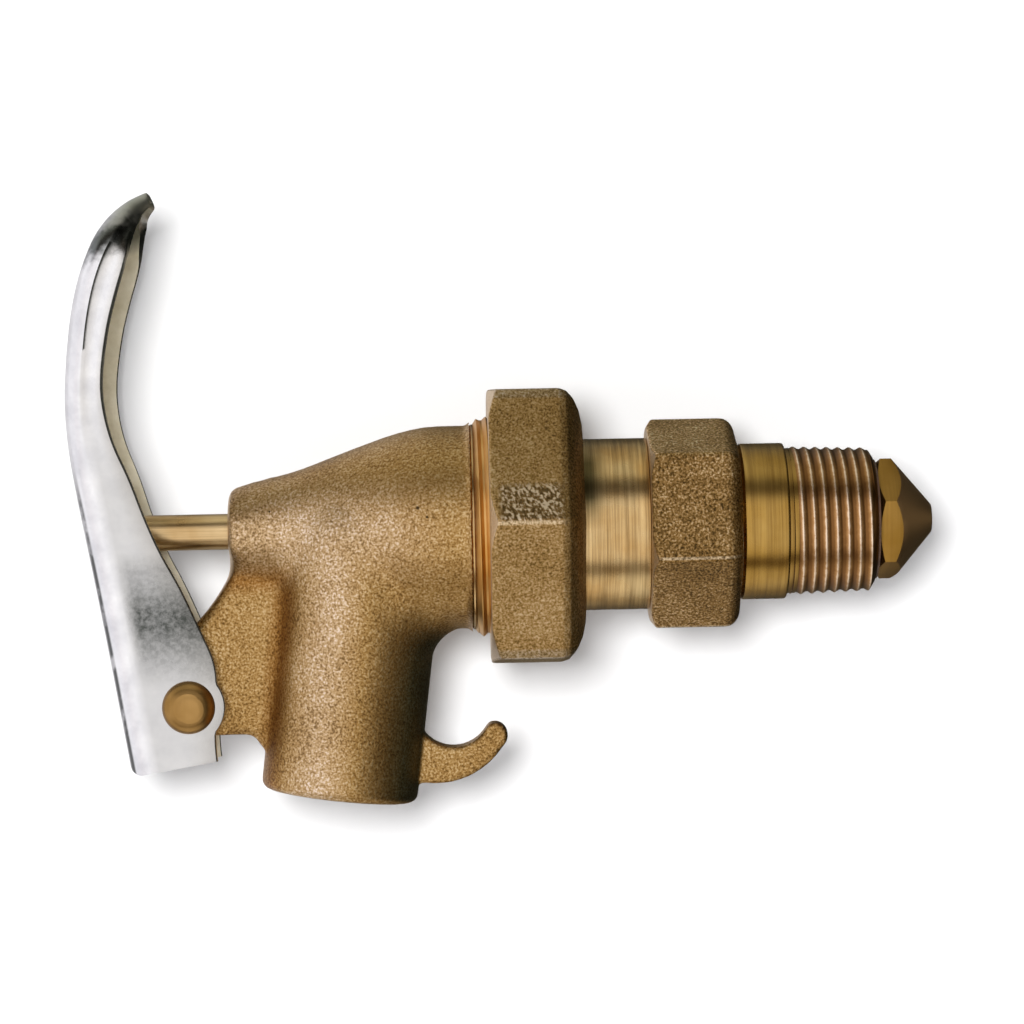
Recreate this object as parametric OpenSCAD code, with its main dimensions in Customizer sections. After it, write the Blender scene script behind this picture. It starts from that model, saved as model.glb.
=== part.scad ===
// Self-closing drum tap: cast elbow body, pressed lever, union tail and a spring-closed inlet valve.
// X runs along the inlet towards the drum, Z is up and the symmetry plane is Y = 0.
// The origin is the hand-tight plane of the inlet thread, on the inlet axis.

/* [Inlet adapter] */
// Outside radius of the inlet thread
thread_r = 13.2; // [12.8:0.05:13.4]
// Start of the inlet thread, on the neck side
thread_start = -5.6; // [-8:0.1:-4]
// End face of the adapter, which is the valve seat
seat_x = 8.8; // [8:0.1:12]
// Height of the chamfer that leads the thread into the bung
lead_chamfer = 1.1; // [0.6:0.1:1.6]
// Radius of the turned neck
neck_r = 13.85; // [13.5:0.05:15]
// Width across the flats of the cast hexagon
adapter_af = 32.8; // [30:0.5:36]
// Left end of the adapter's hexagon
adapter_x = -31.2; // [-34:0.1:-30]
// Length of the adapter's hexagon
adapter_hex_length = 16; // [12:0.5:18]
// Turn of the adapter's hexagon about the inlet axis, from a corner facing the viewer
adapter_turn = -19; // [-30:0.5:30]
// Radius of the liquid way through the adapter
adapter_bore_r = 9.5; // [8:0.1:10]

/* [Union] */
// Radius of the tail tube
tail_r = 15.2; // [14:0.05:16]
// Radius of the liquid way through the tail tube
tail_bore_r = 10.4; // [9:0.1:11]
// Radius of the collar that the union nut pulls on
collar_r = 18.7; // [17.5:0.1:19]
// Left face of the collar, where the gasket lies
collar_x = -48; // [-50:0.1:-47]
// Thickness of the collar
collar_length = 2.7; // [2:0.1:4]
// Left face of the union nut
nut_x = -59.4; // [-62:0.1:-57]
// Length of the union nut
nut_length = 16.8; // [15:0.1:18]
// Width across the flats of the union nut
nut_af = 47.2; // [45:0.2:50]
// Rise of the draft at the parting line of the nut's top and bottom flats
nut_draft = 0.7; // [0:0.1:1.2]
// Turn of the union nut about the inlet axis, from a corner facing the viewer
nut_turn = 3; // [-30:0.5:30]
// Outside radius of the union thread on the body
union_thread_r = 19.6; // [19:0.05:20.5]
// Radial gap of threads and turning fits
running_gap = 0.05; // [0.02:0.01:0.1]

/* [Body casting] */
// End face of the stem boss
boss_x = -105.4; // [-108:0.1:-104]
// Radius of the stem boss
boss_r = 8.45; // [8:0.05:9]
// Rounding of the boss's rim
boss_rim = 2; // [1:0.1:3]
// Where the boss starts to swell into the barrel
swell_start = -102; // [-104:0.5:-98]
// Where the swell reaches the full barrel
swell_end = -68; // [-72:0.5:-66]
// Radius of the barrel
barrel_r = 18; // [17:0.1:18.5]
// Left end of the union thread on the body
union_thread_x = -62.3; // [-64:0.1:-61]
// Wall of the casting
wall = 3.7; // [3.2:0.1:4.2]

/* [Spout] */
// Centre of the mouth along the inlet axis
mouth_x = -86.9; // [-90:0.1:-84]
// Centre of the mouth below the inlet axis
mouth_z = -47.2; // [-50:0.1:-45]
// Lean of the spout from upright, mouth towards the lever
spout_lean = 7.2; // [0:0.1:10]
// Outside radius of the spout
spout_r = 13.9; // [13:0.1:14.5]
// Radius of the liquid way in the spout
spout_bore_r = 10; // [9.5:0.1:10.2]
// Rounding of the mouth's rim
mouth_rim = 1.6; // [0.5:0.1:2]
// Radius of the fillet inside the elbow
elbow_fillet = 7.1; // [5:0.1:9]
// Radius of the recess in the mouth that holds the screen
recess_r = 11.2; // [10.8:0.1:11.4]
// Depth of the recess in the mouth
recess_depth = 9.4; // [8:0.1:12]

/* [Lever lug] */
// Pivot along the inlet axis
pivot_x = -112.9; // [-115:0.1:-112]
// Pivot below the inlet axis
pivot_z = -30.7; // [-33:0.1:-29]
// Thickness of the lug
lug_w = 8; // [7:0.1:9]
// Radius of the lug round the pivot
lug_r = 5.2; // [4.6:0.1:6]
// Fillet between the lug and the spout
lug_fillet = 2.4; // [1:0.1:3]
// Radius of the pivot rivet's shank
rivet_r = 3; // [2.5:0.05:3.2]

/* [Bail hook] */
// Thickness of the hook
hook_w = 6.4; // [5:0.1:8]
// Radius of the hook's hollow, where the bail lies
hook_hollow_r = 6.6; // [6:0.1:7]
// Radius of the hook's outer side
hook_back_r = 14.2; // [13.8:0.1:14.8]
// Radius of the hook's tip
hook_tip_r = 2.3; // [2:0.1:2.6]

/* [Lever] */
// Thickness of the lever's sheet
sheet = 1.5; // [1.2:0.1:1.6]
// Outer radius of the bend between web and flange
lever_bend_r = 3.6; // [2.5:0.1:4.5]
// Crown of the thumb pad
pad_crown = 0.7; // [0:0.1:1.2]
// Height of the bead that runs along each side of the thumb pad
pad_bead = 0.5; // [0:0.1:0.8]
// Radius of the flange round the pivot
flange_eye_r = 6.5; // [6:0.1:7]

/* [Valve] */
// Radius of the valve stem
stem_r = 3.17; // [2.8:0.01:3.3]
// Left end of the stem, just clear of the lever's web
stem_end_x = -128.65; // [-128.65:0.05:-125]
// Width across the flats of the poppet
poppet_af = 19.05; // [18:0.05:20]
// Turn of the poppet about the inlet axis, from a corner facing the viewer
poppet_turn = 17.4; // [-30:0.2:30]
// Right end of the poppet
poppet_end_x = 19.3; // [18.5:0.1:22]
// Length of the poppet's conical nose
poppet_nose = 7.2; // [5:0.1:8]
// Radius of the flat at the poppet's nose
poppet_tip_r = 2.5; // [2:0.1:4.5]
// Thickness of the seal disc
seal_t = 0.5; // [0.4:0.1:1.8]
// Outside radius of the seal disc
seal_r = 10.6; // [10.4:0.1:11.4]

/* [Spring] */
// Radius of the spring's wire
spring_wire_r = 0.65; // [0.5:0.05:0.8]
// Mean radius of the spring
spring_r = 5.6; // [5.2:0.1:6]
// Turns of the spring
spring_turns = 7.5; // [6:0.5:9]
// Length of the closed spring
spring_length = 23; // [20:0.5:25]

/* [Packing] */
// Radius of the packing chamber in the boss
packing_r = 5.6; // [5.2:0.1:5.8]
// Left end of the packing chamber
packing_x = -101; // [-102:0.1:-100]
// Thickness of one packing ring
packing_t = 2.2; // [1.8:0.1:2.6]
// Length of the packing gland
gland_length = 5.5; // [4:0.1:6.5]

/* [Hidden] */

// Working values
past = 2;
round_fn = 96;
arc_fn = 48;
packing_rings = 3;

// Colours
bronze = "#a8834c";
dark_bronze = "#957242";
turned_brass = "#c29a55";
cut_brass = "#b5814f";
plated_steel = "#cfcfd0";
spring_steel = "#9a9c9f";
seal_black = "#2b2622";
ptfe_white = "#e9e7e0";

// Positions that follow from the driving dimensions
adapter_hex_end = adapter_x + adapter_hex_length;
spigot_r = tail_r - 1.75;
spigot_length = 11;
collar_end = collar_x + collar_length;
nut_end = nut_x + nut_length;
nut_hole_r = tail_r + 0.3;
gasket_t = 1;
body_end = collar_x - gasket_t;
flange_gap = 0.3;
clevis_half_w = lug_w / 2 + flange_gap + sheet;

// A smooth step from 0 to 1
function swell(t) = t * t * (3 - 2 * t);

// Points along an arc, angles counted from +X towards +Y of the drawing plane
function arc(centre, r, from, to, steps) =
    [for (i = [0:steps]) let (a = from + (to - from) * i / steps) centre + r * [cos(a), sin(a)]];

// Closed skin over a row of sections that all have the same even number of points,
// counterclockwise as seen from the side that the row runs to.
// Each end is closed by strips between the points of the first half and those of the second.
module skin(sections) {
    n = len(sections[0]);
    last = (len(sections) - 1) * n;
    side_faces = [for (i = [0:len(sections) - 2], k = [0:n - 1])
        let (a = i * n + k, b = i * n + (k + 1) % n)
        each [[b, a, b + n], [b + n, a, a + n]]];
    first_end = [for (k = [0:n / 2 - 2]) each [[k, k + 1, n - 1 - k], [n - 1 - k, k + 1, n - 2 - k]]];
    last_end = [for (f = first_end) [last + f[2], last + f[1], last + f[0]]];
    polyhedron([for (section = sections) each section], concat(side_faces, first_end, last_end), convexity = 10);
}

// Turns a profile of [radius, x] points about the inlet axis
module turned(profile) {
    rotate([0, 90, 0]) rotate_extrude($fn = round_fn) polygon(profile);
}

// Round bar along the inlet axis
module bar(r, from, to) {
    translate([from, 0, 0]) rotate([0, 90, 0]) cylinder(r = r, h = to - from, $fn = round_fn);
}

// Plain ring along the inlet axis
module ring(outer, inner, from, to) {
    difference() {
        bar(outer, from, to);
        bar(inner, from - past, to + past);
    }
}

// Extrudes a drawing in X and Z to both sides of the symmetry plane
module across(width) {
    rotate([90, 0, 0]) linear_extrude(width, center = true) children();
}

// Cylinder across the symmetry plane at the pivot
module pivot_pin(r, width) {
    translate([pivot_x, 0, pivot_z]) rotate([90, 0, 0]) cylinder(r = r, h = width, center = true, $fn = 64);
}

// Outline of a cast hexagon in Y and Z: rounded corners, and draft on the two flats that face up and down
function hexagon(af, corner_r, turn, draft) =
    let (corner_d = (af / 2 - corner_r) / cos(30))
    [for (k = [0:5])
        let (a = 180 - turn + 60 * k, flat_a = a + 30)
        each concat(
            arc(corner_d * [cos(a), sin(a)], corner_r, a - 30, a + 30, 4),
            draft > 0 && k % 3 == 1 ? [(af / 2 + draft) * [cos(flat_a), sin(flat_a)]] : []
        )
    ];

// One section of a cast hexagon as points in space
function hex_section(at, af, corner_r, turn, draft) =
    [for (p = hexagon(af, corner_r, turn, draft)) [at, p[0], p[1]]];

// Cast hexagon along the inlet axis: a small edge on the left, a round shoulder on the right
module cast_hexagon(af, from, to, corner_r, turn, draft, shoulder, drop, edge) {
    steps = 5;
    skin(concat(
        [hex_section(from, af - 2 * edge, corner_r, turn, draft), hex_section(from + edge, af, corner_r, turn, draft)],
        [for (i = [0:steps]) let (a = 90 * i / steps)
            hex_section(to - shoulder + shoulder * sin(a), af - 2 * drop * (1 - cos(a)), corner_r, turn, draft)]
    ));
}

// Inlet adapter: cast hexagon, turned neck and the threaded end with the valve seat
module inlet_adapter() {
    guide_seat_x = -1.4;
    color(dark_bronze) difference() {
        union() {
            intersection() {
                cast_hexagon(adapter_af, adapter_x, adapter_hex_end, 0.7, adapter_turn, 0, 2.6, 2.8, 0.3);
                turned([
                    [0, adapter_x], [adapter_af / 2 + 0.6, adapter_x], [adapter_af / 2 + 2.6, adapter_x + 1.2],
                    [adapter_af / 2 + 2.6, adapter_hex_end], [0, adapter_hex_end]
                ]);
            }
            turned([
                [0, adapter_x + past], [neck_r, adapter_x + past], [neck_r, thread_start - 1.6],
                [thread_r - 0.3, thread_start - 0.4], [thread_r - 0.3, thread_start], [thread_r, thread_start],
                [thread_r, seat_x - lead_chamfer], [thread_r - 1.7 * lead_chamfer, seat_x], [0, seat_x]
            ]);
        }
        bar(spigot_r + running_gap, adapter_x - past, adapter_x + spigot_length + 0.6);
        bar(adapter_bore_r - 1.2, adapter_x, seat_x + past);
        bar(adapter_bore_r, guide_seat_x, seat_x + past);
    }
}

// Union tail: the collar under the nut, the turned tube and the threaded spigot in the adapter
module union_tail() {
    color(turned_brass) difference() {
        turned([
            [0, collar_x], [collar_r - 0.5, collar_x], [collar_r, collar_x + 0.5], [collar_r, collar_end],
            [tail_r, collar_end], [tail_r, adapter_x - 0.02], [spigot_r, adapter_x - 0.02],
            [spigot_r, adapter_x + spigot_length - 0.8], [spigot_r - 0.8, adapter_x + spigot_length],
            [0, adapter_x + spigot_length]
        ]);
        bar(tail_bore_r, collar_x - past, adapter_x + spigot_length + past);
    }
}

// Union nut: cast hexagon with a turned face, a threaded bore and a shoulder behind the collar
module union_nut() {
    face_r = nut_af / 2 + 0.8;
    color(bronze) difference() {
        intersection() {
            cast_hexagon(nut_af, nut_x, nut_end, 1.3, nut_turn, nut_draft, 4.3, 9, 0.3);
            turned([
                [0, nut_x], [face_r, nut_x], [face_r + 3, nut_x + 1.7], [face_r + 3, nut_end], [0, nut_end]
            ]);
        }
        bar(union_thread_r + running_gap, nut_x - past, collar_end);
        bar(nut_hole_r, nut_x - past, nut_end + past);
    }
}

// Flat gasket between the body's end and the collar
module union_gasket() {
    color(ptfe_white) ring(collar_r - 0.6, 13.4, body_end, collar_x);
}

// Half section of the boss, the swell and the barrel, turned about the inlet axis
function casting_profile() =
    let (steps = 14)
    concat(
        [[0, boss_x], [boss_r - boss_rim, boss_x]],
        [for (a = [15:15:90]) [boss_r - boss_rim + boss_rim * sin(a), boss_x + boss_rim - boss_rim * cos(a)]],
        [for (i = [0:steps])
            [boss_r + (barrel_r - boss_r) * swell(i / steps), swell_start + (swell_end - swell_start) * i / steps]],
        [[barrel_r, union_thread_x - 0.9], [union_thread_r - 0.7, union_thread_x],
         [union_thread_r, union_thread_x + 0.6], [union_thread_r, body_end - 0.8],
         [union_thread_r - 0.8, body_end], [0, body_end]]
    );

// Half section of the chamber in the barrel, down to the gland's thread in the boss
function chamber_profile() =
    let (steps = 8, gland_r = packing_r + 0.2, mouth_r = barrel_r - wall - 0.5,
         from = packing_x + packing_rings * packing_t + 1 + gland_length)
    concat(
        [[0, from], [gland_r, from]],
        [for (i = [1:steps])
            [gland_r + (mouth_r - gland_r) * swell(i / steps), from + 2 + (swell_end - from - 2) * i / steps]],
        [[mouth_r, body_end + past], [0, body_end + past]]
    );

// Places children in the spout's own frame: origin at the mouth's centre, Z up the spout
module in_spout() {
    translate([mouth_x, 0, mouth_z]) rotate([0, spout_lean, 0]) children();
}

// Spout: a round barrel with a rounded rim that swells a little towards its ball end inside the chamber's shell
module spout_barrel() {
    heel = 44.5;
    heel_r = spout_r + 1;
    swell_from = 24;
    steps = 8;
    in_spout() {
        rotate_extrude($fn = round_fn) polygon(concat(
            [[0, heel], [0, 0], [spout_r - mouth_rim, 0]],
            [for (a = [18:18:90]) [spout_r - mouth_rim + mouth_rim * sin(a), mouth_rim * (1 - cos(a))]],
            [for (i = [0:steps])
                [spout_r + (heel_r - spout_r) * swell(i / steps), swell_from + (heel - swell_from) * i / steps]]
        ));
        translate([0, 0, heel]) sphere(heel_r, $fn = round_fn);
    }
}

// Bend that gives the inside of the elbow its round fillet
module elbow_bend() {
    tube_r = spout_r - 0.15;
    bend_r = elbow_fillet + tube_r;
    bend_z = -barrel_r - elbow_fillet + 0.3;
    axis_x = mouth_x + (bend_z - mouth_z) * tan(spout_lean);
    bend_x = axis_x + bend_r / cos(spout_lean);
    translate([bend_x, 0, bend_z]) rotate([90, 0, 0]) rotate([0, 0, 90])
        rotate_extrude(angle = 90 - spout_lean, $fn = round_fn) translate([bend_r, 0]) circle(tube_r, $fn = round_fn);
}

// Outline of the lug: an eye at the pivot, a slanting top edge to the boss and a level foot to the spout
module lug_outline() {
    foot_z = pivot_z - lug_r;
    top = [boss_x + 0.6, -6.6];
    shoulder = [boss_x - 5.8, -15.7];
    translate([pivot_x, pivot_z]) circle(lug_r, $fn = 64);
    polygon(concat(
        [[pivot_x, foot_z + 0.03], [pivot_x - lug_r * cos(12), pivot_z + lug_r * sin(12)]],
        arc([pivot_x - 0.6, -21.8], 2.6, 172, 130, 4),
        [shoulder, shoulder + [1.3, 1.5], shoulder + [3.1, 3.8], top, top + [9, 3],
         [mouth_x + 2, -8], [mouth_x - 8, foot_z - 4]],
        [[mouth_x - spout_r + 1.4, foot_z - 3.4], [mouth_x - spout_r + 0.6, foot_z - 2.2]],
        arc([mouth_x - spout_r - 2.2, foot_z - 2.4], 2.4, 20, 90, 4)
    ));
}

// Concave fillets along both faces of the lug where it meets the spout
module lug_fillets() {
    plate = lug_w / 2;
    centre_u = sqrt((spout_r + lug_fillet) ^ 2 - (plate + lug_fillet) ^ 2);
    touch = spout_r / (spout_r + lug_fillet) * [centre_u, plate + lug_fillet];
    in_spout() translate([0, 0, 11.5]) linear_extrude(25)
        for (side = [-1, 1]) difference() {
            polygon([
                [-centre_u, side * (plate - 0.4)], [-centre_u, side * plate],
                [-touch[0], side * touch[1]], [-touch[0] + 1.5, side * (touch[1] - 1)],
                [-touch[0] + 1.5, side * (plate - 0.4)]
            ]);
            translate([-centre_u, side * (plate + lug_fillet)]) circle(lug_fillet, $fn = arc_fn);
        }
}

// Outline of the bail hook behind the spout
module hook_outline() {
    hollow = [mouth_x + 20.6, mouth_z + 14.9];
    back = [mouth_x + 17.4, mouth_z + 16.1];
    tip = [mouth_x + 27.9, mouth_z + 10.2];
    root_x = mouth_x + spout_r - 1;
    polygon(concat(
        [[root_x, mouth_z + 2]],
        arc(back, hook_back_r, 262, 325, 10),
        arc(tip, hook_tip_r, -35, 118, 8),
        arc(hollow, hook_hollow_r, 322, 218, 10),
        [[root_x, mouth_z + 12.6]]
    ));
}

// Body: the cast elbow with its stem boss, lever lug, bail hook and union thread
module body() {
    screen_groove = [recess_depth - 1.6, 1.05];
    color(bronze) difference() {
        union() {
            turned(casting_profile());
            spout_barrel();
            elbow_bend();
            across(lug_w) lug_outline();
            lug_fillets();
            across(hook_w) hook_outline();
        }
        turned(chamber_profile());
        bar(packing_r, packing_x, swell_end);
        bar(stem_r + running_gap, boss_x - past, packing_x + past);
        in_spout() {
            translate([0, 0, -past]) cylinder(r = spout_bore_r, h = 43 + past, $fn = round_fn);
            translate([0, 0, -past]) cylinder(r = recess_r, h = recess_depth + past, $fn = round_fn);
            translate([0, 0, screen_groove[0]]) cylinder(r = recess_r + 0.6, h = screen_groove[1], $fn = round_fn);
        }
        pivot_pin(rivet_r + running_gap, lug_w + past);
    }
}

// Heading of the lever's web from upright, by length from its foot, positive towards the lever's outside
lever_heading = [
    [0, 9.6], [53.8, 9.6], [62, 4.7], [71, -2.8], [80, -7.7], [87, -14.1], [95.5, -24.3], [101.5, -45.4],
    [109.4, -70]
];
// Depth of the channel from the web's outer face to the edge of the flange
lever_depth = [
    [0, 15.5], [3.4, 15.8], [16.5, 18.6], [22.3, 17.1], [32, 14.7], [37, 12.9], [44, 11.3], [52, 10.1],
    [59, 8.4], [66, 7.6], [71, 7.4], [80, 7.8], [88, 8.2], [94, 8.1], [100, 7.2], [104, 5.3], [109.4, 2.4]
];
// Half width of the channel outside
lever_half_w = [
    [0, clevis_half_w], [22, clevis_half_w], [34, clevis_half_w + 1], [46, 9], [58, 12], [70, 14.2],
    [88, 14.6], [93, 14.5], [97, 13.9], [100, 12.9], [103, 11.6], [106, 9.8], [108, 8.3], [109.4, 7]
];
// Share of the pad's crown and bead
lever_pad = [[60, 0], [70, 1], [102, 1], [107, 0]];
// Lengths along the web at which the channel's section is taken, closer at the eye and at the tip
lever_stations = concat(
    [0, 1.7, 3.4], [for (i = [1:9]) 3.4 + 13.1 * i / 9], [20.7, 26, 32, 38, 44, 50],
    [for (s = [54:4:70]) s], [for (s = [73:3:103]) s], [105, 107, 108.4, 109.4]
);
// Foot of the web
lever_foot = [-123.3, -42.9];

// Unit vector up the web for a heading
function upward(heading) = [-sin(heading), cos(heading)];

// Points of the web's outer line at each station, summed from the foot
function web_line(i = 0, at = lever_foot) =
    let (
        s = lever_stations[i],
        step = i + 1 < len(lever_stations) ? lever_stations[i + 1] - s : 0,
        heading = lookup(s + step / 2, lever_heading)
    )
    step == 0 ? [at] : concat([at], web_line(i + 1, at + step * upward(heading)));

web_points = web_line();

// Where the pivot lies along the web and how deep under it
pivot_offset = [pivot_x, pivot_z] - lever_foot;
pivot_along = pivot_offset * upward(lever_heading[0][1]);
pivot_depth = pivot_offset * [cos(lever_heading[0][1]), sin(lever_heading[0][1])];

// Depth of the flange at a length along the web, with the round eye at the pivot
function flange_depth(s) =
    let (reach = abs(s - pivot_along), eye = reach < flange_eye_r ? sqrt(flange_eye_r ^ 2 - reach ^ 2) : -99)
    max(lookup(s, lever_depth), pivot_depth + eye);

// One side of the channel's section, from the flange's edge to the web, at an inset from the outer face
function half_section(s, inset) =
    let (
        depth = flange_depth(s),
        pad = lookup(s, lever_pad),
        bend = min(lever_bend_r, 0.6 * depth),
        crown = min(pad_crown * pad, 0.1 * depth),
        half_w = lookup(s, lever_half_w),
        bead = pad_bead * pad,
        bend_top = bend + crown,
        joggle = bend_top + min(0.6, 0.3 * (depth - bend_top)),
        centre = [half_w + bead - bend, bend_top],
        r = max(bend - inset, 0.12)
    )
    concat(
        [[half_w - inset, depth], [half_w - inset, joggle]],
        [for (a = [0:22.5:90]) centre + r * [cos(a), -sin(a)]],
        [[centre[0] * 0.55, inset + crown * 0.3]]
    );

// Full section: one side, the middle of the web and the other side
function section(s, inset) =
    let (half = half_section(s, inset), n = len(half))
    concat(half, [[0, inset]], [for (i = [n - 1:-1:0]) [-half[i][0], half[i][1]]]);

// Section set on the web line as points in space
function placed_section(i, inset) =
    let (
        s = lever_stations[i],
        heading = lookup(s, lever_heading),
        inward = [cos(heading), sin(heading)]
    )
    [for (p = section(s, inset)) let (q = web_points[i] + p[1] * inward) [q[0], p[0], q[1]]];

// The pressed channel: a skin through all its sections, outer face first and the inner face on the way back
module lever_channel() {
    skin([for (i = [0:len(lever_stations) - 1])
        let (inside = placed_section(i, sheet))
        concat(placed_section(i, 0), [for (k = [len(inside) - 1:-1:0]) inside[k]])]);
}

// Lever: pressed from one plated sheet, with a hole in each flange for the rivet
module lever() {
    color(plated_steel) difference() {
        lever_channel();
        pivot_pin(rivet_r + 0.02, 4 * clevis_half_w);
    }
}

// Pivot rivet: a domed head with a flat centre on the near side and a closed head on the far side
module pivot_rivet() {
    head_r = 4.7;
    head_h = 2.8;
    flat_r = 2.15;
    closed_r = 4.3;
    closed_h = 1.7;
    reach = clevis_half_w;
    color(turned_brass) translate([pivot_x, 0, pivot_z]) rotate([90, 0, 0]) rotate_extrude($fn = 64) polygon(concat(
        [[0, -reach - closed_h], [closed_r * 0.6, -reach - closed_h], [closed_r, -reach - closed_h * 0.45],
         [closed_r, -reach], [rivet_r, -reach], [rivet_r, reach], [head_r, reach], [head_r, reach + 0.5]],
        [for (a = [18:18:72])
            [flat_r + (head_r - flat_r) * cos(a), reach + 0.5 + (head_h - 0.5) * sin(a)]],
        [[flat_r, reach + head_h], [flat_r * 0.8, reach + head_h - 0.25], [0, reach + head_h - 0.25]]
    ));
}

// Valve stem: one drawn rod from the lever's web to the poppet, with a groove for the clip
module valve_stem() {
    groove_x = clip_x;
    tip = 0.9;
    stem_thread_end = seat_x + seal_t + 3.6;
    color(turned_brass) difference() {
        turned([
            [0, stem_end_x], [stem_r - tip - 0.6, stem_end_x], [stem_r - 0.5, stem_end_x + 0.5],
            [stem_r, stem_end_x + tip + 0.4], [stem_r, stem_thread_end], [0, stem_thread_end]
        ]);
        ring(stem_r + past, clip_r, groove_x, groove_x + clip_t);
    }
}

// Poppet: turned from hexagon bar, with a conical nose
module poppet() {
    back_x = seat_x + seal_t;
    corner_r = poppet_af / 2 / cos(30);
    nose_start = poppet_end_x - poppet_nose;
    hole_end = back_x + 3.8;
    color(turned_brass) difference() {
        intersection() {
            translate([back_x, 0, 0]) rotate([90, 0, 90]) rotate([0, 0, 180 - poppet_turn])
                linear_extrude(poppet_end_x - back_x) circle(corner_r, $fn = 6);
            turned([
                [0, back_x], [poppet_af / 2 - 0.2, back_x], [corner_r, back_x + 0.9],
                [corner_r, nose_start], [poppet_tip_r + 0.55, poppet_end_x - 0.45],
                [poppet_tip_r, poppet_end_x], [0, poppet_end_x]
            ]);
        }
        bar(stem_r + 0.03, back_x - past, hole_end);
    }
}

// Seal disc that closes on the end of the adapter
module seal_disc() {
    color(seal_black) ring(seal_r, stem_r + 0.03, seat_x, seat_x + seal_t);
}

// Washer that keeps the seal disc flat inside the seat
module seal_washer() {
    color(spring_steel) ring(7.4, stem_r + 0.03, seat_x - 1, seat_x);
}

// Where the fixed end of the spring, the collar and its clip lie at rest
guide_x = -1.4;
guide_length = 5;
collar_stop_x = guide_x - spring_length;
spring_collar_t = 2;
clip_t = 0.8;
clip_r = 2.5;
clip_x = collar_stop_x - spring_collar_t - clip_t;

// Stem guide: a ring, three arms and a hub, pressed into the adapter's bore
module stem_guide() {
    hub_r = 4.7;
    color(turned_brass) difference() {
        union() {
            ring(adapter_bore_r - 0.02, adapter_bore_r - 1.7, guide_x, guide_x + guide_length);
            bar(hub_r, guide_x, guide_x + guide_length);
            for (k = [0:2]) rotate([120 * k, 0, 0])
                translate([guide_x + 0.4, -1.1, hub_r - 1]) cube([guide_length - 0.8, 2.2, adapter_bore_r - hub_r]);
        }
        bar(stem_r + running_gap, guide_x - past, guide_x + guide_length + past);
    }
}

// Closing spring: one round wire wound between the collar and the guide
module closing_spring() {
    sides = 6;
    per_turn = 18;
    run = spring_length - 2 * spring_wire_r;
    lead = run / spring_turns / 360;
    tilt = atan(run / (spring_turns * 2 * PI * spring_r));
    color(spring_steel) skin([for (i = [0:spring_turns * per_turn])
        let (a = 360 * i / per_turn, x = collar_stop_x + spring_wire_r + lead * a)
        [for (k = [0:sides - 1])
            let (b = 360 * k / sides, r = spring_r + spring_wire_r * cos(b), side = -spring_wire_r * sin(b))
            [x + side * cos(tilt), r * cos(a) + side * sin(tilt) * sin(a), r * sin(a) - side * sin(tilt) * cos(a)]]
    ]);
}

// Collar on the stem that the spring pushes
module spring_collar() {
    color(turned_brass) difference() {
        turned([
            [0, collar_stop_x - spring_collar_t], [6, collar_stop_x - spring_collar_t],
            [7.2, collar_stop_x - spring_collar_t + 0.8], [7.2, collar_stop_x], [4.7, collar_stop_x],
            [4.7, collar_stop_x + 1.2], [0, collar_stop_x + 1.2]
        ]);
        bar(stem_r + 0.03, collar_stop_x - 2 * past, collar_stop_x + 2 * past);
    }
}

// Open clip in the stem's groove that holds the collar
module collar_clip() {
    color(spring_steel) difference() {
        ring(5.2, clip_r + 0.03, clip_x, clip_x + clip_t);
        translate([clip_x - 1, -2.2, 0]) cube([clip_t + 2, 4.4, 8]);
    }
}

// Washer at the bottom of the packing chamber
module packing_washer() {
    color(turned_brass) ring(packing_r - 0.05, stem_r + running_gap, packing_x, packing_x + 1);
}

// One packing ring, counted from the washer
module packing_ring(index) {
    from = packing_x + 1 + packing_t * (index - 1);
    color(ptfe_white) ring(packing_r - 0.05, stem_r + 0.02, from, from + packing_t);
}

// Gland that presses the packing, screwed in from the barrel and slotted for a driver
module packing_gland() {
    from = packing_x + 1 + packing_t * packing_rings;
    color(turned_brass) difference() {
        ring(packing_r - 0.05, stem_r + 0.4, from, from + gland_length);
        translate([from + gland_length - 2, -0.8, -packing_r]) cube([past + 1, 1.6, 2 * packing_r]);
    }
}

// Flame arrester: a round woven screen at the top of the mouth's recess
module arrester_screen() {
    wires = 9;
    step = 2.3;
    wire = 0.5;
    color(spring_steel) in_spout() translate([0, 0, recess_depth - 0.5]) intersection() {
        cylinder(r = recess_r - 0.1, h = wire, $fn = round_fn);
        union() {
            difference() {
                cylinder(r = recess_r - 0.1, h = wire, $fn = round_fn);
                translate([0, 0, -1]) cylinder(r = recess_r - 1.3, h = wire + 2, $fn = round_fn);
            }
            for (i = [0:wires - 1]) {
                offset_y = (i - (wires - 1) / 2) * step;
                translate([-recess_r, offset_y - wire / 2, 0]) cube([2 * recess_r, wire, wire]);
                translate([offset_y - wire / 2, -recess_r, 0]) cube([wire, 2 * recess_r, wire]);
            }
        }
    }
}

// Open spring ring that holds the screen up in its groove
module screen_ring() {
    color(spring_steel) in_spout() translate([0, 0, recess_depth - 1.55]) difference() {
        cylinder(r = recess_r + 0.5, h = 0.95, $fn = round_fn);
        translate([0, 0, -1]) cylinder(r = recess_r - 1, h = 3, $fn = round_fn);
        translate([recess_r - 2, -1.6, -1]) cube([4, 3.2, 3]);
    }
}

inlet_adapter();
union_tail();
union_nut();
union_gasket();
body();
lever();
pivot_rivet();
valve_stem();
poppet();
seal_disc();
seal_washer();
stem_guide();
closing_spring();
spring_collar();
collar_clip();
packing_washer();
packing_ring(1);  // packing_ring_1
packing_ring(2);  // packing_ring_2
packing_ring(3);  // packing_ring_3
packing_gland();
arrester_screen();
screen_ring();
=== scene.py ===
# %% [markdown]
# # A self-closing drum tap
# The tap hangs from a drum by its inlet thread. Its body, union nut and inlet adapter are sand castings
# in bronze, the tube, thread and poppet are turned brass, and the lever is pressed from plated sheet.
# This notebook takes the measured solids as its frame and gives every piece its real surface.

import math

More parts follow.
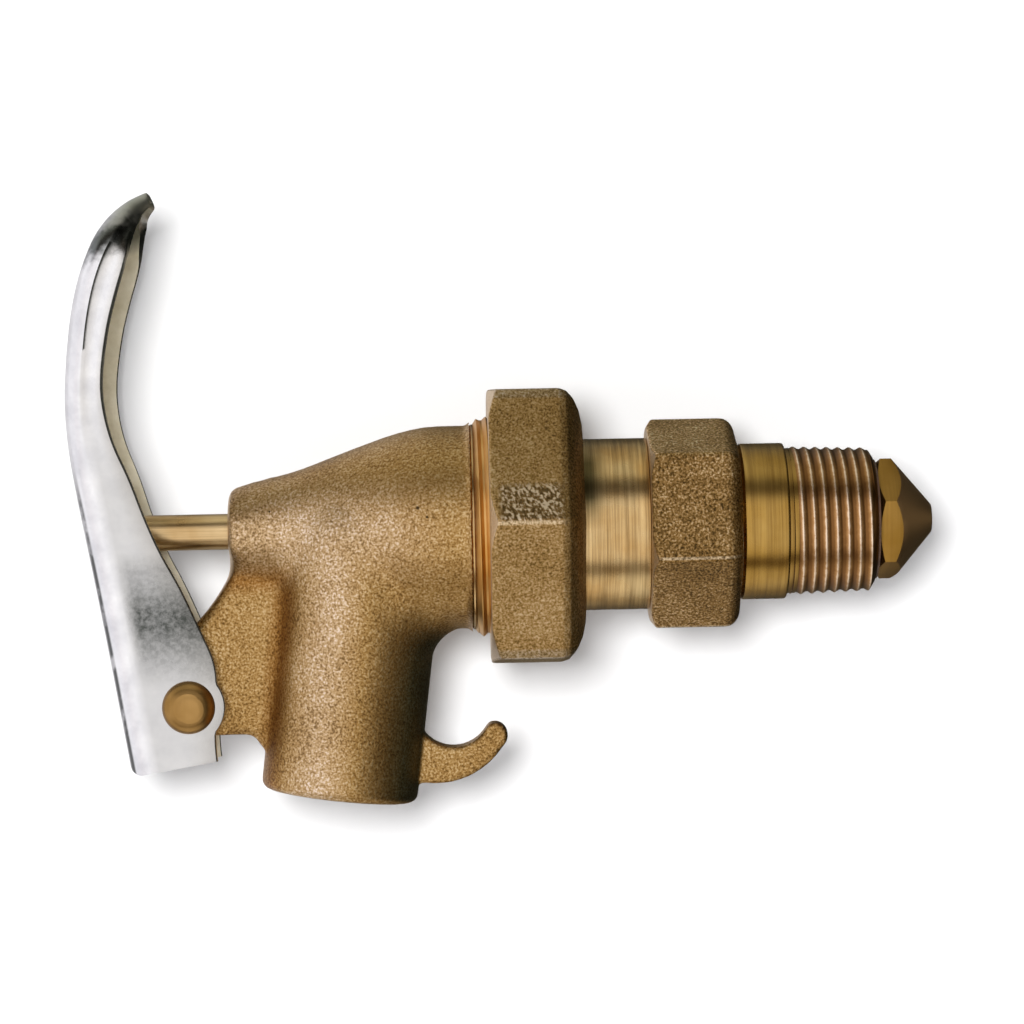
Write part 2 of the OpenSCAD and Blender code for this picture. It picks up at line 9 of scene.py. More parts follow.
import bpy
from mathutils import Matrix, Vector


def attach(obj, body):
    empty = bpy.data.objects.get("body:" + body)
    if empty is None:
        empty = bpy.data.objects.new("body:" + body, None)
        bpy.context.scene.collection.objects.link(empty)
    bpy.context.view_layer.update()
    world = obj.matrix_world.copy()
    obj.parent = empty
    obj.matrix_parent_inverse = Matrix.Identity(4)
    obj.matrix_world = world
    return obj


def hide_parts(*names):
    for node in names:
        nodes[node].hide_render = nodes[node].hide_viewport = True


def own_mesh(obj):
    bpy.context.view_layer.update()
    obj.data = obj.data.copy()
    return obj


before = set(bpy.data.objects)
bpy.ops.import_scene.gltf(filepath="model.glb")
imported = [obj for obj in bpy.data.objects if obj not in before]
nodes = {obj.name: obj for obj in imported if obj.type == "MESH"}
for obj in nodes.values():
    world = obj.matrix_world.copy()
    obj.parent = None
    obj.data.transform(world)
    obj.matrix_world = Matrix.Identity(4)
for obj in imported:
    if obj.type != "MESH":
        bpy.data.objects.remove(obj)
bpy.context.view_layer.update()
print("pieces in the frame:", len(nodes))

# %% [markdown]
# ## Small helpers
# Lengths below are in millimetres, because that is how such a tap is drawn. `MM` turns them into metres.

# %% Helpers for objects
MM = 0.001


def only(obj):
    """Makes obj the one selected and active object."""
    bpy.ops.object.select_all(action="DESELECT")
    obj.select_set(True)
    bpy.context.view_layer.objects.active = obj


def apply_modifier(obj, kind, **settings):
    """Adds one modifier, sets it and applies it at once."""
    only(obj)
    bpy.ops.object.modifier_add(type=kind)
    modifier = obj.modifiers[-1]
    for key, value in settings.items():
        setattr(modifier, key, value)
    bpy.ops.object.modifier_apply(modifier=modifier.name)


def smooth(obj, angle=40):
    """Smooth shading, with edges sharper than the angle left crisp."""
    only(obj)
    bpy.ops.object.shade_smooth_by_angle(angle=math.radians(angle))


def copy_of(node, name):
    """A loose copy of a frame node's mesh with its doubled corners merged."""
    source = nodes[node]
    obj = bpy.data.objects.new(name, source.data.copy())
    bpy.context.scene.collection.objects.link(obj)
    obj.data.materials.clear()
    only(obj)
    bpy.ops.object.mode_set(mode="EDIT")
    bpy.ops.mesh.select_all(action="SELECT")
    bpy.ops.mesh.remove_doubles(threshold=0.002 * MM)
    bpy.ops.mesh.normals_make_consistent(inside=False)
    bpy.ops.object.mode_set(mode="OBJECT")
    return obj


def turned(name, profile, steps=128, closed=False):
    """Spins a profile of (x, radius) points round the inlet axis, as a lathe would."""
    points = [(x * MM, 0, r * MM) for x, r in profile]
    edges = [(i, i + 1) for i in range(len(points) - 1)]
    if closed:
        edges.append((len(points) - 1, 0))
    mesh = bpy.data.meshes.new(name)
    mesh.from_pydata(points, edges, [])
    obj = bpy.data.objects.new(name, mesh)
    bpy.context.scene.collection.objects.link(obj)
    only(obj)
    bpy.ops.object.mode_set(mode="EDIT")
    bpy.ops.mesh.select_all(action="SELECT")
    bpy.ops.mesh.spin(steps=steps, angle=math.tau, center=(0, 0, 0), axis=(1, 0, 0))
    bpy.ops.mesh.select_all(action="SELECT")
    bpy.ops.mesh.remove_doubles(threshold=0.001 * MM)
    bpy.ops.mesh.normals_make_consistent(inside=False)
    bpy.ops.object.mode_set(mode="OBJECT")
    return obj


def rounded(points, radius, steps=3):
    """Rounds every inner corner of an open (x, radius) profile by a small arc."""
    out = [points[0]]
    for before, at, after in zip(points, points[1:], points[2:]):
        p, a, b = Vector(at), Vector(before), Vector(after)
        u, v = (a - p), (b - p)
        reach = min(radius, u.length * 0.45, v.length * 0.45)
        start, end = p + u.normalized() * reach, p + v.normalized() * reach
        for i in range(steps + 1):
            t = i / steps
            q = start * (1 - t) ** 2 + p * 2 * t * (1 - t) + end * t ** 2
            out.append((q.x, q.y))
    out.append(points[-1])
    return out


def finish_piece(obj, material, body, replaces=(), angle=40):
    """Gives a piece its material, its smooth shading and the body that it moves with."""
    if material:
        obj.data.materials.clear()
        obj.data.materials.append(material)
    smooth(obj, angle)
    if replaces:
        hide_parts(*replaces)
    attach(obj, body)
    print(obj.name, len(obj.data.polygons), "faces")


# %% [markdown]
# ## Materials
# Colours are picked as sRGB hex values and converted once to the linear values that the shader mixes.

# %% Helpers for materials
def rgb(hex_colour):
    """Linear RGBA of an sRGB hex colour."""
    parts = [int(hex_colour[i:i + 2], 16) / 255 for i in (1, 3, 5)]
    return [p / 12.92 if p <= 0.04045 else ((p + 0.055) / 1.055) ** 2.4 for p in parts] + [1.0]


def add(tree, kind, inputs=None, **settings):
    """Adds one node, sets its properties and its input values or links."""
    node = tree.nodes.new(kind)
    for key, value in settings.items():
        setattr(node, key, value)
    for key, value in (inputs or {}).items():
        if isinstance(value, bpy.types.NodeSocket):
            tree.links.new(value, node.inputs[key])
        else:
            node.inputs[key].default_value = value
    return node


def ramp(tree, factor, stops, interpolation="LINEAR"):
    """A colour ramp with (place, hex colour) stops."""
    node = add(tree, "ShaderNodeValToRGB", {"Fac": factor})
    node.color_ramp.interpolation = interpolation
    elements = node.color_ramp.elements
    while len(elements) < len(stops):
        elements.new(0.5)
    for element, (place, colour) in zip(elements, stops):
        element.position = place
        element.color = rgb(colour)
    return node.outputs["Color"]


def new_material(name):
    """A material with one Principled shader, and its object coordinates in metres."""
    material = bpy.data.materials.new(name)
    material.use_nodes = True
    tree = material.node_tree
    shader = tree.nodes["Principled BSDF"]
    place = add(tree, "ShaderNodeTexCoord").outputs["Object"]
    return material, tree, shader, place


def noise(tree, place, scale, detail=3.0, roughness=0.5):
    """Noise whose lumps measure about 1/scale metres."""
    return add(tree, "ShaderNodeTexNoise",
               {"Vector": place, "Scale": scale, "Detail": detail, "Roughness": roughness}).outputs["Fac"]


def bump(tree, height, distance, strength=1.0, normal=None):
    """Bump of a height map over a distance in metres."""
    inputs = {"Height": height, "Distance": distance, "Strength": strength}
    if normal is not None:
        inputs["Normal"] = normal
    return add(tree, "ShaderNodeBump", inputs).outputs["Normal"]


def mix_colours(tree, factor, first, second, blend_type="MIX"):
    """Mixes two colours, or colour sockets, by a factor."""
    node = tree.nodes.new("ShaderNodeMix")
    node.data_type = "RGBA"
    node.blend_type = blend_type
    sockets = [node.inputs[0]] + [s for s in node.inputs if s.type == "RGBA"]
    for socket, value in zip(sockets, (factor, first, second)):
        if isinstance(value, bpy.types.NodeSocket):
            tree.links.new(value, socket)
        else:
            socket.default_value = value
    return [s for s in node.outputs if s.type == "RGBA"][0]


def product(tree, first, second):
    """Product of two values."""
    return add(tree, "ShaderNodeMath", {0: first, 1: second}, operation="MULTIPLY").outputs[0]


def remap(tree, value, from_low, from_high, to_low, to_high):
    """A straight-line remap of a value, kept inside its range."""
    return add(tree, "ShaderNodeMapRange", {
        "Value": value, "From Min": from_low, "From Max": from_high, "To Min": to_low, "To Max": to_high,
    }).outputs["Result"]


# %% [markdown]
# ### Sand-cast bronze
# The eye sees a sandy skin of about 0.4 mm grains: brown in the hollows, golden and nearly pink on the worn
# tops, with a few larger clouds of tarnish and single small pits. The body was tumbled, so its grains
# differ little; the nut and above all the hexagon are rougher. Faces square to the axis were turned, so
# they are paler, and the corners of a hexagon are rubbed bright.

# %% Cast bronze
def close_to(tree, value, centre, full, none):
    """1 where the value lies within full of the centre, 0 where it is further off than none."""
    off = add(tree, "ShaderNodeMath", {0: value, 1: centre}, operation="SUBTRACT").outputs[0]
    distance = add(tree, "ShaderNodeMath", {0: off}, operation="ABSOLUTE").outputs[0]
    return remap(tree, distance, none, full, 0.0, 1.0)


def larger(tree, first, second):
    """The larger of two masks."""
    return add(tree, "ShaderNodeMath", {0: first, 1: second}, operation="MAXIMUM").outputs[0]


def faces_along(tree, low, high, strength):
    """A mask of the faces that look along the inlet axis: 0 at low, strength at high, as X of the normal."""
    normal = add(tree, "ShaderNodeNewGeometry").outputs["Normal"]
    return remap(tree, add(tree, "ShaderNodeSeparateXYZ", {"Vector": normal}).outputs["X"], low, high, 0.0, strength)


def faces_left(tree):
    """0.75 where a face looks along -X, as the turned end faces do."""
    return faces_along(tree, -0.72, -0.84, 0.75)


def cast_bronze(name, stops, speckle, grit, tint):
    """Speckle is how much the grains differ in colour, grit how high they stand in metres."""
    material, tree, shader, place = new_material(name)
    grain = noise(tree, place, 2450, 3, 0.65)
    lumps = noise(tree, place, 900, 2, 0.5)
    clouds = noise(tree, place, 75, 3, 0.55)
    pits = add(tree, "ShaderNodeTexVoronoi", {"Vector": place, "Scale": 150.0}).outputs["Distance"]
    pit_mask = remap(tree, pits, 0.035, 0.022, 0.0, 1.0)
    shade = add(tree, "ShaderNodeMath", {
        0: remap(tree, grain, 0.36, 0.64, 0.5 - speckle / 2, 0.5 + speckle / 2),
        1: remap(tree, clouds, 0.3, 0.7, -0.12, 0.12),
    }, operation="ADD").outputs[0]
    colour = tint(tree, place, ramp(tree, shade, stops), grain)
    colour = mix_colours(tree, pit_mask, colour, rgb("#2e2110"))
    tree.links.new(colour, shader.inputs["Base Color"])
    shader.inputs["Metallic"].default_value = 1.0
    tree.links.new(remap(tree, grain, 0.35, 0.65, 0.52, 0.36), shader.inputs["Roughness"])
    shader.inputs["Coat Weight"].default_value = 0.12
    shader.inputs["Coat Roughness"].default_value = 0.4
    skin = bump(tree, grain, grit, 0.6)
    skin = bump(tree, lumps, 0.0002, 0.3, skin)
    tree.links.new(skin, shader.inputs["Normal"])
    return material


# %% [markdown]
# Each casting was handled its own way, and each also carries painted light. The body has a painted pink
# highlight along the boss and down the spout, painted shade in the valley round the lug and under the boss,
# and painted shade on the faces low on the spout that look right. The nut has a rough band where its
# parting line was ground off, a painted grey reflection on its top and bottom faces, and corners rubbed
# bright. The hexagon has a painted grey reflection on top.

# %% Tints and painted light of the three castings
def body_tint_and_painted_light(tree, place, colour, grain):
    parts = add(tree, "ShaderNodeSeparateXYZ", {"Vector": place})
    x, z = parts.outputs["X"], parts.outputs["Z"]
    across = add(tree, "ShaderNodeMath", {0: z, 1: -0.104, 2: x}, operation="MULTIPLY_ADD").outputs[0]
    # Painted highlight: a pale pink sheen along the boss and down the spout, multiplied into the colour.
    boss = product(tree, close_to(tree, z, 0.0, 0.001, 0.0105), remap(tree, x, -0.066, -0.084, 0.0, 1.0))
    spout = product(tree, close_to(tree, across, -0.086, 0.001, 0.0065), remap(tree, z, 0.003, -0.004, 0.0, 0.9))
    colour = mix_colours(tree, larger(tree, boss, spout), colour, (1.36, 1.58, 2.55, 1.0), "MULTIPLY")
    # Painted shade: darker where the lug meets the spout and under the boss.
    root = product(tree, close_to(tree, across, -0.0946, 0.0005, 0.0028), remap(tree, z, -0.007, -0.011, 0.0, 1.0))
    painted_shade_under_boss = product(tree, close_to(tree, z, -0.0085, 0.0005, 0.003),
                         remap(tree, x, -0.0925, -0.0965, 0.0, 1.0))
    colour = mix_colours(tree, larger(tree, root, painted_shade_under_boss), colour, (0.74, 0.58, 0.36, 1.0), "MULTIPLY")
    boss_end = product(tree, faces_left(tree), remap(tree, x, -0.104, -0.1045, 0.0, 1.0))
    colour = mix_colours(tree, boss_end, colour, rgb("#efd8b8"))
    # Painted shade: the faces low on the spout that look right are made darker.
    painted_shade_right = product(tree, faces_along(tree, 0.5, 0.78, 1.0), remap(tree, z, -0.006, -0.013, 0.0, 1.0))
    colour = mix_colours(tree, painted_shade_right, colour, (0.4, 0.58, 0.86, 1.0), "MULTIPLY")
    flat = add(tree, "ShaderNodeCombineXYZ", {"X": x, "Z": z}).outputs["Vector"]
    front = remap(tree, parts.outputs["Y"], 0.0, -0.001, 0.0, 0.9)
    for hole_x, hole_z, radius in ((-0.0718, 0.0039, 0.0004), (-0.0702, 0.0023, 0.0003)):
        off = add(tree, "ShaderNodeVectorMath", {0: flat, 1: (hole_x, 0, hole_z)}, operation="DISTANCE").outputs["Value"]
        hole = product(tree, remap(tree, off, radius, radius * 0.5, 0.0, 1.0), front)
        colour = mix_colours(tree, hole, colour, rgb("#2e2110"))
    return colour


def rubbed_corners(tree, place, colour, grain, turn, middle, reach):
    """Pale broken lines along the corners of a hexagon round the inlet axis, but for its upper side.
    They end where x is further than reach from the middle."""
    parts = add(tree, "ShaderNodeSeparateXYZ", {"Vector": place})
    front = product(tree, parts.outputs["Y"], -1.0)
    angle = add(tree, "ShaderNodeMath", {0: parts.outputs["Z"], 1: front}, operation="ARCTAN2").outputs[0]
    sixfold = add(tree, "ShaderNodeMath", {0: angle, 1: 6.0, 2: math.radians(-6 * turn)},
                  operation="MULTIPLY_ADD").outputs[0]
    cosine = add(tree, "ShaderNodeMath", {0: sixfold}, operation="COSINE").outputs[0]
    line = product(tree, remap(tree, cosine, 0.995, 0.9995, 0.0, 1.0),
                   remap(tree, parts.outputs["Z"], 0.007, 0.004, 0.0, 1.0))
    line = product(tree, line, close_to(tree, parts.outputs["X"], middle, reach - 0.0008, reach + 0.0006))
    line = product(tree, line, remap(tree, grain, 0.42, 0.56, 0.1, 0.6))
    return mix_colours(tree, line, colour, rgb("#f0dcba"))


def nut_tint_and_painted_reflection(tree, place, colour, grain):
    parts = add(tree, "ShaderNodeSeparateXYZ", {"Vector": place})
    x, y, z = parts.outputs["X"], parts.outputs["Y"], parts.outputs["Z"]
    band = product(tree, close_to(tree, z, 0.0045, 0.0026, 0.0036), close_to(tree, x, -0.0522, 0.0049, 0.0058))
    band = product(tree, band, remap(tree, y, 0.0, -0.002, 0.0, 0.85))
    leaning = add(tree, "ShaderNodeMapping", {
        "Vector": place, "Rotation": (0.0, math.radians(-24), 0.0), "Scale": (1.0, 1.0, 2.6)},
        vector_type="TEXTURE").outputs["Vector"]
    scars = ramp(tree, noise(tree, leaning, 2000, 2, 0.5), [(0.38, "#4b3a1d"), (0.5, "#94754a"), (0.6, "#f4e2c6")])
    colour = mix_colours(tree, band, colour, scars)
    colour = rubbed_corners(tree, place, colour, grain, 2.5, -0.0522, 0.0062)
    # Painted reflection: the top and bottom faces are made greyer.
    painted_reflection_on_ends = larger(tree, remap(tree, z, 0.0224, 0.0229, 0.0, 1.0), remap(tree, z, -0.0209, -0.0215, 0.0, 1.0))
    colour = mix_colours(tree, painted_reflection_on_ends, colour, (0.94, 1.07, 1.5, 1.0), "MULTIPLY")
    return mix_colours(tree, faces_left(tree), colour, rgb("#efd8b8"))


def hexagon_tint_and_painted_reflection(tree, place, colour, grain):
    z = add(tree, "ShaderNodeSeparateXYZ", {"Vector": place}).outputs["Z"]
    # Painted reflection: the upper faces are made greyer.
    colour = mix_colours(tree, remap(tree, z, 0.0118, 0.0128, 0.0, 1.0), colour, (1.5, 1.62, 1.85, 1.0), "MULTIPLY")
    colour = rubbed_corners(tree, place, colour, grain, -18, -0.0225, 0.0076)
    return mix_colours(tree, faces_left(tree), colour, rgb("#e8d2b0"))


body_bronze = cast_bronze("tumbled_cast_bronze", [
    (0.1, "#75562c"), (0.4, "#a88148"), (0.65, "#bb975e"), (0.95, "#dabe90")], 0.72, 0.00014, body_tint_and_painted_light)
nut_bronze = cast_bronze("rough_cast_bronze", [
    (0.1, "#654d27"), (0.4, "#a8844c"), (0.65, "#c4a16b"), (0.95, "#e6cda4")], 0.66, 0.0002, nut_tint_and_painted_reflection)
hexagon_bronze = cast_bronze("gritty_cast_bronze", [
    (0.08, "#4a3818"), (0.4, "#886736"), (0.68, "#b08b55"), (0.95, "#ecd0a4")], 0.72, 0.00028, hexagon_tint_and_painted_reflection)

# %% [markdown]
# ### Turned brass
# The tool leaves fine rings round the axis: the noise is squeezed along X, so it changes quickly along
# the axis and slowly round it. Some rings are darker, as on the tube, where they look like upright marks.
# The neck and the poppet are a deeper gold than the tube. The stem was drawn through a die, so its marks run
# along it, and there the noise is squeezed the other way.

# %% Turned brass
def turned_brass(name, low, high, rough, ring_depth, ring_shade, squeeze=(1.0, 0.02, 0.02), tint=None):
    material, tree, shader, place = new_material(name)
    rings_place = add(tree, "ShaderNodeMapping", {"Vector": place, "Scale": squeeze}).outputs["Vector"]
    rings = noise(tree, rings_place, 2600, 4, 0.65)
    broad = noise(tree, rings_place, 800, 2, 0.5)
    clouds = noise(tree, place, 110, 3, 0.55)
    grain = noise(tree, place, 3000, 2, 0.5)
    colour = ramp(tree, clouds, [(0.35, low), (0.65, high)])
    lines = add(tree, "ShaderNodeMath", {
        0: remap(tree, rings, 0.35, 0.6, ring_shade, 0.0), 1: remap(tree, broad, 0.4, 0.6, ring_shade * 0.7, 0.0),
    }, operation="ADD").outputs[0]
    colour = mix_colours(tree, lines, colour, rgb("#6b4c22"))
    if tint:
        colour = tint(tree, place, colour)
    tree.links.new(colour, shader.inputs["Base Color"])
    shader.inputs["Metallic"].default_value = 1.0
    tree.links.new(remap(tree, clouds, 0.3, 0.7, rough, rough + 0.08), shader.inputs["Roughness"])
    surface = bump(tree, rings, ring_depth, 0.6)
    surface = bump(tree, grain, 0.00002, 0.3, surface)
    tree.links.new(surface, shader.inputs["Normal"])
    return material


def nose_tint(tree, place, colour):
    """The cone of the poppet has lost its yellow."""
    return mix_colours(tree, faces_along(tree, 0.45, 0.6, 0.9), colour, rgb("#dcb68a"))


def painted_nut_shade_on_tube(tree, place, colour):
    """Painted shade: a dark patch on the tube's upper half in the corner by the nut, for the nut's shadow and dark
    reflection.
    """
    parts = add(tree, "ShaderNodeSeparateXYZ", {"Vector": place})
    corner = product(tree, remap(tree, parts.outputs["X"], -0.0385, -0.0415, 0.0, 0.9),
                     close_to(tree, parts.outputs["Z"], 0.008, 0.003, 0.0085))
    return mix_colours(tree, corner, colour, rgb("#3c3820"))


brass = turned_brass("turned_brass", "#dcb274", "#f4d69f", 0.22, 0.00005, 0.4)
tube_brass = turned_brass("tube_brass", "#dcb274", "#f4d69f", 0.22, 0.00005, 0.4, tint=painted_nut_shade_on_tube)
drawn_brass = turned_brass("drawn_brass", "#d4b07a", "#efd2a0", 0.26, 0.00002, 0.3, (0.02, 1.0, 1.0))
gold_brass = turned_brass("golden_turned_brass", "#ab853f", "#c19d58", 0.24, 0.00004, 0.35)
poppet_brass = turned_brass("deep_golden_brass", "#98722e", "#ad8642", 0.38, 0.00002, 0.2, tint=nose_tint)
union_brass = turned_brass("union_thread_brass", "#d6a258", "#efc482", 0.36, 0.00001, 0.1)
rivet_brass = turned_brass("headed_brass", "#94703a", "#b8925a", 0.32, 0.00001, 0.05)

# %% [markdown]
# ### Cut thread
# Same brass, with a painted pale pink highlight on the crests and painted brown shade in the roots. The colour
# follows the distance from the axis, corrected for the taper.

# %% Cut thread
thread_brass, tree, shader, place = new_material("cut_thread_brass")
parts = add(tree, "ShaderNodeSeparateXYZ", {"Vector": place})
across = add(tree, "ShaderNodeCombineXYZ", {"Y": parts.outputs["Y"], "Z": parts.outputs["Z"]}).outputs["Vector"]
radius = add(tree, "ShaderNodeVectorMath", {0: across}, operation="LENGTH").outputs["Value"]
crest = add(tree, "ShaderNodeMath", {0: parts.outputs["X"], 1: 0.5 / 14.9, 2: radius}, operation="MULTIPLY_ADD").outputs[0]
wear = noise(tree, place, 900, 3, 0.6)
height = add(tree, "ShaderNodeMath", {
    0: remap(tree, crest, 0.01262, 0.01302, 0.0, 1.0), 1: remap(tree, wear, 0.3, 0.7, -0.12, 0.12),
}, operation="ADD").outputs[0]
# Painted highlight on the crests and painted shade in the roots, by the height above the root.
tree.links.new(ramp(tree, height, [
    (0.05, "#7c5630"), (0.5, "#a67a4a"), (0.78, "#c69c70"), (0.9, "#f3dac0")]), shader.inputs["Base Color"])
shader.inputs["Metallic"].default_value = 1.0
shader.inputs["Roughness"].default_value = 0.34
tree.links.new(bump(tree, wear, 0.00004, 0.4), shader.inputs["Normal"])

# %% [markdown]
# ### Bright plated steel
# The lever is plated bright over rolled sheet. The eye sees a nearly white mirror, slightly hazy, with very
# low waves from the press. On the flange below the stem the plating is thin: a dark, mottled patch that
# ends where the sheet bends. A painted dark reflection runs as a broken line along the bend, just inside
# the left outline. The tip is painted greyer, with a painted dark greenish band below it: both are painted
# reflections, and the tip is also rougher. Inside the channel the plating stayed dull and beige, with
# painted shade towards the tip.

# %% Plated steel
plated, tree, shader, place = new_material("bright_plated_steel")
haze = noise(tree, place, 240, 4, 0.6)
waves = noise(tree, place, 55, 2, 0.4)
bright = ramp(tree, haze, [(0.3, "#d6d6da"), (0.7, "#efeff1")])
height = add(tree, "ShaderNodeSeparateXYZ", {"Vector": place}).outputs["Z"]
depth = add(tree, "ShaderNodeVectorMath", {0: place, 1: (0.986, 0, 0.1668)}, operation="DOT_PRODUCT").outputs["Value"]
rise = add(tree, "ShaderNodeMath", {
    0: remap(tree, height, -0.003, -0.0065, 0.0, 0.45), 1: remap(tree, height, -0.008, -0.014, 0.0, 0.55),
}, operation="ADD").outputs[0]
patch = product(tree, rise, remap(tree, height, -0.028, -0.0165, 0.0, 1.0))
patch = product(tree, patch, remap(tree, depth, 0.0042 - 0.12873, 0.0064 - 0.12873, 0.0, 1.0))
mottle = remap(tree, noise(tree, place, 1100, 5, 0.7), 0.38, 0.62, 0.66, 1.0)
dull = product(tree, patch, mottle)
side = product(tree, remap(tree, depth, 0.0034 - 0.12873, 0.0052 - 0.12873, 0.0, 0.55),
               remap(tree, height, 0.03, 0.008, 0.0, 1.0))
colour = mix_colours(tree, side, bright, rgb("#b5b4b1"))
colour = mix_colours(tree, dull, colour, rgb("#565956"))
# Painted reflection: a dark broken line along the bend, just inside the left outline, low on the lever.
painted_dark_edge_line = product(tree, close_to(tree, depth, 0.0006 - 0.12873, 0.0002, 0.0005),
                    remap(tree, noise(tree, place, 200, 3, 0.6), 0.36, 0.5, 0.35, 0.9))
painted_dark_edge_line = product(tree, painted_dark_edge_line, remap(tree, height, 0.012, 0.004, 0.0, 1.0))
colour = mix_colours(tree, painted_dark_edge_line, colour, rgb("#3b3e3c"))
up_the_tip = add(tree, "ShaderNodeVectorMath", {0: place, 1: (-0.3, 0, 1)}, operation="DOT_PRODUCT").outputs["Value"]
up_the_tip = add(tree, "ShaderNodeMath", {
    0: up_the_tip, 1: remap(tree, noise(tree, place, 600, 2, 0.5), 0.3, 0.7, -0.001, 0.001),
}, operation="ADD").outputs[0]
# Painted reflections: the tip is made greyer, and a dark greenish band is painted below it.
colour = mix_colours(tree, remap(tree, up_the_tip, 0.0915, 0.0935, 0.0, 0.55), colour, rgb("#a9ac9e"))
colour = mix_colours(tree, product(tree, close_to(tree, up_the_tip, 0.0893, 0.001, 0.004), 0.8), colour, rgb("#26332e"))
tree.links.new(colour, shader.inputs["Base Color"])
shader.inputs["Metallic"].default_value = 1.0
gloss = remap(tree, haze, 0.3, 0.7, 0.14, 0.24)
gloss = add(tree, "ShaderNodeMath", {0: gloss, 1: product(tree, dull, 0.2)}, operation="ADD").outputs[0]
tarnished = remap(tree, up_the_tip, 0.0885, 0.0925, 0.0, 0.22)
gloss = add(tree, "ShaderNodeMath", {0: gloss, 1: tarnished}, operation="ADD").outputs[0]
tree.links.new(gloss, shader.inputs["Roughness"])
surface = bump(tree, waves, 0.0005, 0.2)
surface = bump(tree, noise(tree, place, 2600, 3, 0.6), 0.00003, 0.35, surface)
tree.links.new(surface, shader.inputs["Normal"])

dull_plated, tree, shader, place = new_material("dull_plating_inside")
haze = noise(tree, place, 300, 4, 0.6)
beige = ramp(tree, haze, [(0.3, "#e4dcc4"), (0.7, "#f8f2e0")])
up_the_tip = add(tree, "ShaderNodeVectorMath", {0: place, 1: (-0.3, 0, 1)}, operation="DOT_PRODUCT").outputs["Value"]
# Painted shade: the inside is made darker towards the tip.
painted_tip_shade = remap(tree, up_the_tip, 0.0865, 0.0895, 0.0, 0.85)
tree.links.new(mix_colours(tree, painted_tip_shade, beige, rgb("#6d6f62")), shader.inputs["Base Color"])
shader.inputs["Metallic"].default_value = 0.4
shader.inputs["Roughness"].default_value = 0.8
tree.links.new(bump(tree, haze, 0.0001, 0.3), shader.inputs["Normal"])

# %% [markdown]
# ### Spring steel, seal rubber and white packing
# These lie inside and show only through the mouth or in the thin joint under the poppet.


# %% Inner materials
def plain(name, low, high, metallic, rough, scale):
    material, tree, shader, place = new_material(name)
    mottle = noise(tree, place, scale, 3, 0.55)
    tree.links.new(ramp(tree, mottle, [(0.3, low), (0.7, high)]), shader.inputs["Base Color"])
    shader.inputs["Metallic"].default_value = metallic
    shader.inputs["Roughness"].default_value = rough
    tree.links.new(bump(tree, mottle, 0.00003, 0.3), shader.inputs["Normal"])
    return material


drawn_steel = plain("drawn_spring_steel", "#7d7f83", "#9a9ca0", 1.0, 0.3, 1500)
seal_rubber = plain("seal_rubber", "#3a281b", "#543b28", 0.0, 0.6, 900)
ptfe = plain("white_ptfe", "#dddad0", "#ece9e1", 0.0, 0.45, 900)

# %% [markdown]
# ## The cast body
# A casting has no sharp inner corners, because sand can't hold them. The solid's skin is rebuilt
# as an even net of small faces and relaxed a little, so every corner between the barrel, the spout, the
# lug and the hook gets its natural fillet. The threaded end is cut off, because it is turned, not cast.

# %% Cast skins
def cast_skin(node, name, voxel, relax):
    obj = copy_of(node, name)
    apply_modifier(obj, "REMESH", mode="VOXEL", voxel_size=voxel * MM, adaptivity=0.0)
    apply_modifier(obj, "SMOOTH", factor=0.5, iterations=relax)
    return obj


def cut_off(obj, x, lowest=-100.0):
    """Cuts an object at a plane across the inlet axis, closes the cut and keeps the left side.
    What lies lower than lowest is left alone."""
    only(obj)
    bpy.ops.object.mode_set(mode="EDIT")
    bpy.ops.mesh.select_mode(type="FACE")
    bpy.ops.mesh.select_all(action="DESELECT")
    bpy.ops.object.mode_set(mode="OBJECT")
    for face in obj.data.polygons:
        face.select = face.center.z > lowest * MM
    bpy.ops.object.mode_set(mode="EDIT")
    bpy.ops.mesh.bisect(plane_co=(x * MM, 0, 0), plane_no=(1, 0, 0), use_fill=True, clear_outer=True)
    bpy.ops.mesh.select_mode(type="VERT")
    bpy.ops.object.mode_set(mode="OBJECT")


def fade(value, low, high):
    """0 at low, 1 at high and a smooth step between them; low may be the larger one."""
    t = min(1.0, max(0.0, (value - low) / (high - low)))
    return t * t * (3 - 2 * t)


def lookup(value, table):
    """Straight-line value from a table of (place, value) pairs."""
    if value <= table[0][0]:
        return table[0][1]
    for (x0, y0), (x1, y1) in zip(table, table[1:]):
        if value <= x1:
            return y0 + (y1 - y0) * (value - x0) / (x1 - x0)
    return table[-1][1]


def soften(obj, share, times):
    """Relaxes the net further where share(x, y, z), in mm, gives it a weight."""
    group = obj.vertex_groups.new(name="soft")
    for vertex in obj.data.vertices:
        weight = share(*(vertex.co / MM))
        if weight > 0.01:
            group.add([vertex.index], weight, "REPLACE")
    apply_modifier(obj, "SMOOTH", factor=0.5, iterations=times, vertex_group=group.name)
    obj.vertex_groups.clear()


def elbow_sides(x, y, z):
    """The sides of the elbow, where the spout grows out of the barrel."""
    return (fade(abs(y), 4.5, 7.5) * fade(z, -27, -20) * fade(z, 5, -1)
            * fade(x, -103, -98) * fade(x, -66, -71))


def lug_top(x, y, z):
    """The top of the lug, under the boss."""
    return fade(abs(y), 9, 6) * fade(z, -19, -15) * fade(z, -2, -6) * fade(x, -89, -94)


def lug_root(x, y, z):
    """The valley on both sides, where the lug meets the spout and the boss."""
    return fade(abs(y), 2.6, 4.2) * fade(z, -40, -33) * fade(z, -3, -7) * fade(x, -107, -103) * fade(x, -88, -92)


